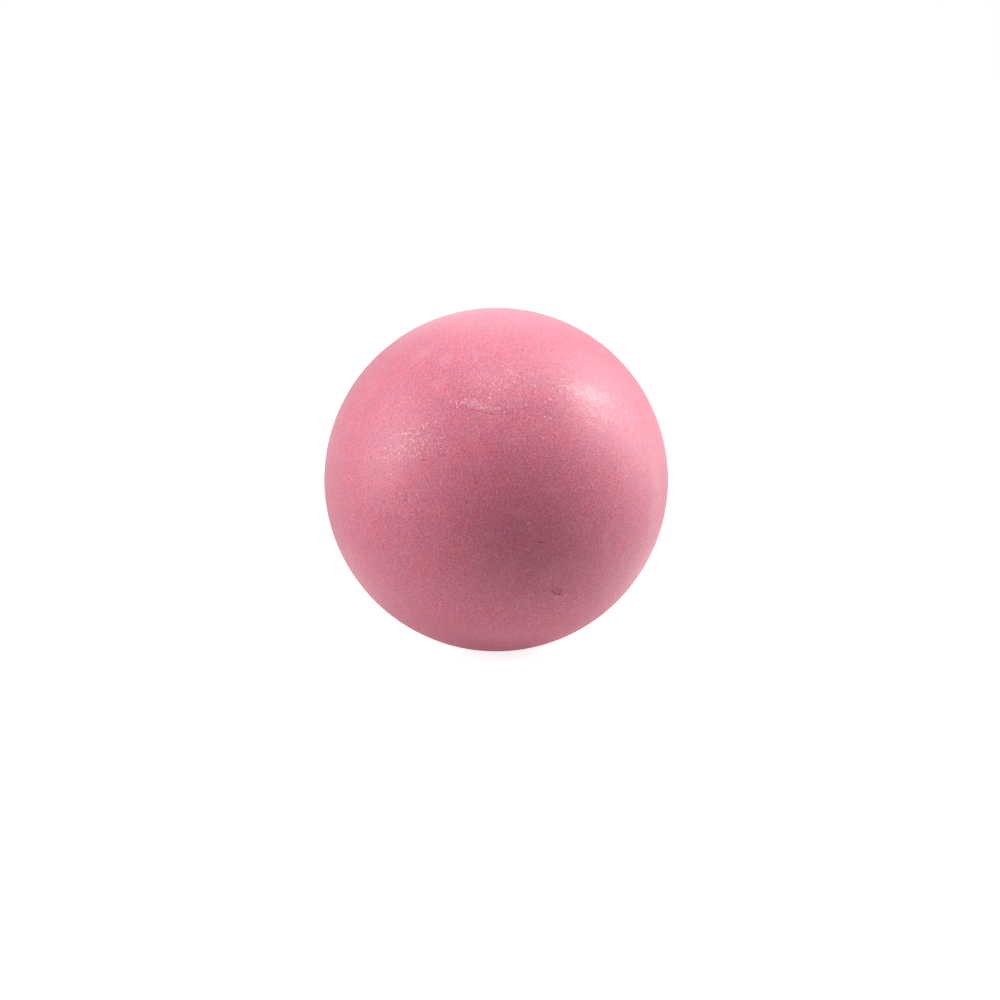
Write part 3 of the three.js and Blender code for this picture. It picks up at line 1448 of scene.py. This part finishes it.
@dataclass
class Studio:
    """The pale floor, the white air, the soft lamps and the camera.

    The floor's grey and its glow begin to change at a third of their reach.

    Args:
        floor_height: how high the floor lies.
        floor_radius: how far the floor reaches.
        near_grey: the floor's own grey, beside the ball.
        far_grey: the same, far from the ball.
        grey_reach: how far from the ball the floor gets its far grey.
        near_glow: what lifts the floor towards white in the picture, beside the ball.
        far_glow: the same, far from the ball.
        glow_reach: how far from the ball the floor gets its full glow.
        floor_gloss: how much of that glow shows in the ball's gloss.
        air_gloss: the same, for the white air.
        ambient: strength of the light from all round.
        lamps: the soft lamps.
        camera: where the picture is taken from.
    """

    floor_height: float
    floor_radius: float = 5.0
    near_grey: float = 0.73
    far_grey: float = 0.25
    grey_reach: float = 0.088
    near_glow: float = 0.84
    far_glow: float = 1.0
    glow_reach: float = 0.25
    floor_gloss: float = 0.45
    air_gloss: float = 0.65
    ambient: float = 0.01
    lamps: tuple[Lamp, ...] = (
        Lamp("top_softbox", 0.0, 80.0, 2.46),
        Lamp("left_low_softbox", -80.0, 10.0, 2.56),
        Lamp("left_front_softbox", -63.0, 29.0, 1.50),
        Lamp("left_high_softbox", -90.0, 35.0, 1.97),
        Lamp("right_softbox", 90.0, 33.0, 3.30),
        Lamp("right_high_softbox", 101.0, 48.0, 1.93),
        Lamp("right_low_softbox", 110.0, 8.0, 2.00),
        Lamp("back_right_softbox", 119.0, 31.0, 1.26),
        Lamp("back_softbox", 180.0, 50.0, 0.64),
    )
    camera: Viewpoint = field(default_factory=Viewpoint)

    def floor(self) -> bpy.types.Object:
        """Lays the floor, a flat round sheet.

        Returns:
            The sheet.
        """
        corners = 64
        points = []
        for corner in range(corners):
            turn = corner / corners * math.tau
            across, along = math.cos(turn), math.sin(turn)
            points.append((self.floor_radius * across, self.floor_radius * along, self.floor_height))
        mesh = bpy.data.meshes.new("floor")
        mesh.from_pydata(points, [], [tuple(range(corners))])
        mesh.materials.append(self.paper())
        sheet = bpy.data.objects.new("floor", mesh)
        bpy.context.scene.collection.objects.link(sheet)
        return sheet

    def background_rays(self, sheet: NodeSheet, gloss: float = 1.0) -> bpy.types.NodeSocket:
        """Tells rays that show the background from rays that light the object.

        Args:
            sheet: the nodes to write in.
            gloss: how much of the background the gloss of things shows.

        Returns:
            1 for rays from the camera and through glass, gloss for glossy ones, and else 0.
        """
        path = sheet.add("ShaderNodeLightPath")
        glossy = sheet.math("MULTIPLY", path.outputs["Is Glossy Ray"], gloss)
        shown = sheet.math("MAXIMUM", path.outputs["Is Camera Ray"], glossy)
        return sheet.math("MAXIMUM", shown, path.outputs["Is Transmission Ray"])

    def paper(self) -> bpy.types.Material:
        """Makes the floor's pale paper, which still takes the ball's shadow.

        Returns:
            The material.
        """
        material = bpy.data.materials.new("pale_paper")
        material.use_nodes = True
        sheet = NodeSheet(material.node_tree)
        place = sheet.add("ShaderNodeTexCoord").outputs["Object"]
        away = sheet.vector_math("LENGTH", place)
        third = 1 / 3
        grey = sheet.ramp(
            away, self.grey_reach * third, self.grey_reach, self.near_grey, self.far_grey
        )
        matte = sheet.fed("ShaderNodeBsdfDiffuse", {"Color": grey})
        glow = sheet.ramp(
            away, self.glow_reach * third, self.glow_reach, self.near_glow, self.far_glow
        )
        strength = sheet.math("MULTIPLY", self.background_rays(sheet, self.floor_gloss), glow)
        light = sheet.fed("ShaderNodeEmission", {"Strength": strength})
        both = sheet.add("ShaderNodeAddShader")
        sheet.feed(both.inputs[0], matte.outputs[0])
        sheet.feed(both.inputs[1], light.outputs[0])
        sheet.fed("ShaderNodeOutputMaterial", {"Surface": both.outputs[0]})
        return material

    def world(self) -> bpy.types.World:
        """Makes the light from all round, which shows as white behind the ball.

        Returns:
            The world.
        """
        world = bpy.data.worlds.new("studio_air")
        world.use_nodes = True
        sheet = NodeSheet(world.node_tree)
        shown = self.background_rays(sheet, self.air_gloss)
        strength = sheet.math("MULTIPLY_ADD", shown, 1.0 - self.ambient, self.ambient)
        white = (1.0, 1.0, 1.0, 1.0)
        air = sheet.fed("ShaderNodeBackground", {"Color": white, "Strength": strength})
        sheet.fed("ShaderNodeOutputWorld", {"Surface": air.outputs[0]})
        bpy.context.scene.world = world
        return world

    def build(self, radius: float) -> None:
        """Sets up the whole studio.

        Args:
            radius: the ball's radius.
        """
        self.world()
        self.floor()
        for lamp in self.lamps:
            lamp.place()
        self.camera.place(radius)
        bpy.context.scene.view_settings.view_transform = "Standard"


def report(piece: bpy.types.Object) -> None:
    """Logs a finished piece.

    Args:
        piece: the piece.
    """
    triangles = sum(len(face.vertices) - 2 for face in piece.data.polygons)
    LOG.info("%s: %d triangles", piece.name, triangles)


def main() -> None:
    """Builds the ball's pieces in order, then the studio."""
    logging.basicConfig(level=logging.INFO, format="%(name)s %(message)s")
    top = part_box("upper_half_shell")[1].z
    sizes = BallSizes(radius=top)
    rubber = RubberFinish()
    upper_marks = tuple(mark for mark in MARKS if mark.latitude > 0 or mark.crosses_seam())
    lower_marks = tuple(mark for mark in MARKS if mark.latitude <= 0 or mark.crosses_seam())
    upper_rubber = rubber.material("pebbled_rubber_upper", upper_marks)
    lower_rubber = rubber.material("pebbled_rubber_lower", lower_marks)
    cement = CEMENT.material("cured_cement")
    pieces = (
        HalfShell("upper_half_shell", Side.UPPER, sizes, upper_rubber, seed=1.0),
        HalfShell("lower_half_shell", Side.LOWER, sizes, lower_rubber, seed=5.0),
        CementRing("seam_cement_ring", sizes, cement),
    )
    for piece in pieces:
        built = piece.build()
        piece.dress(built)
        report(built)
    Studio(floor_height=-sizes.radius).build(sizes.radius)


if __name__ == "__main__":
    main()
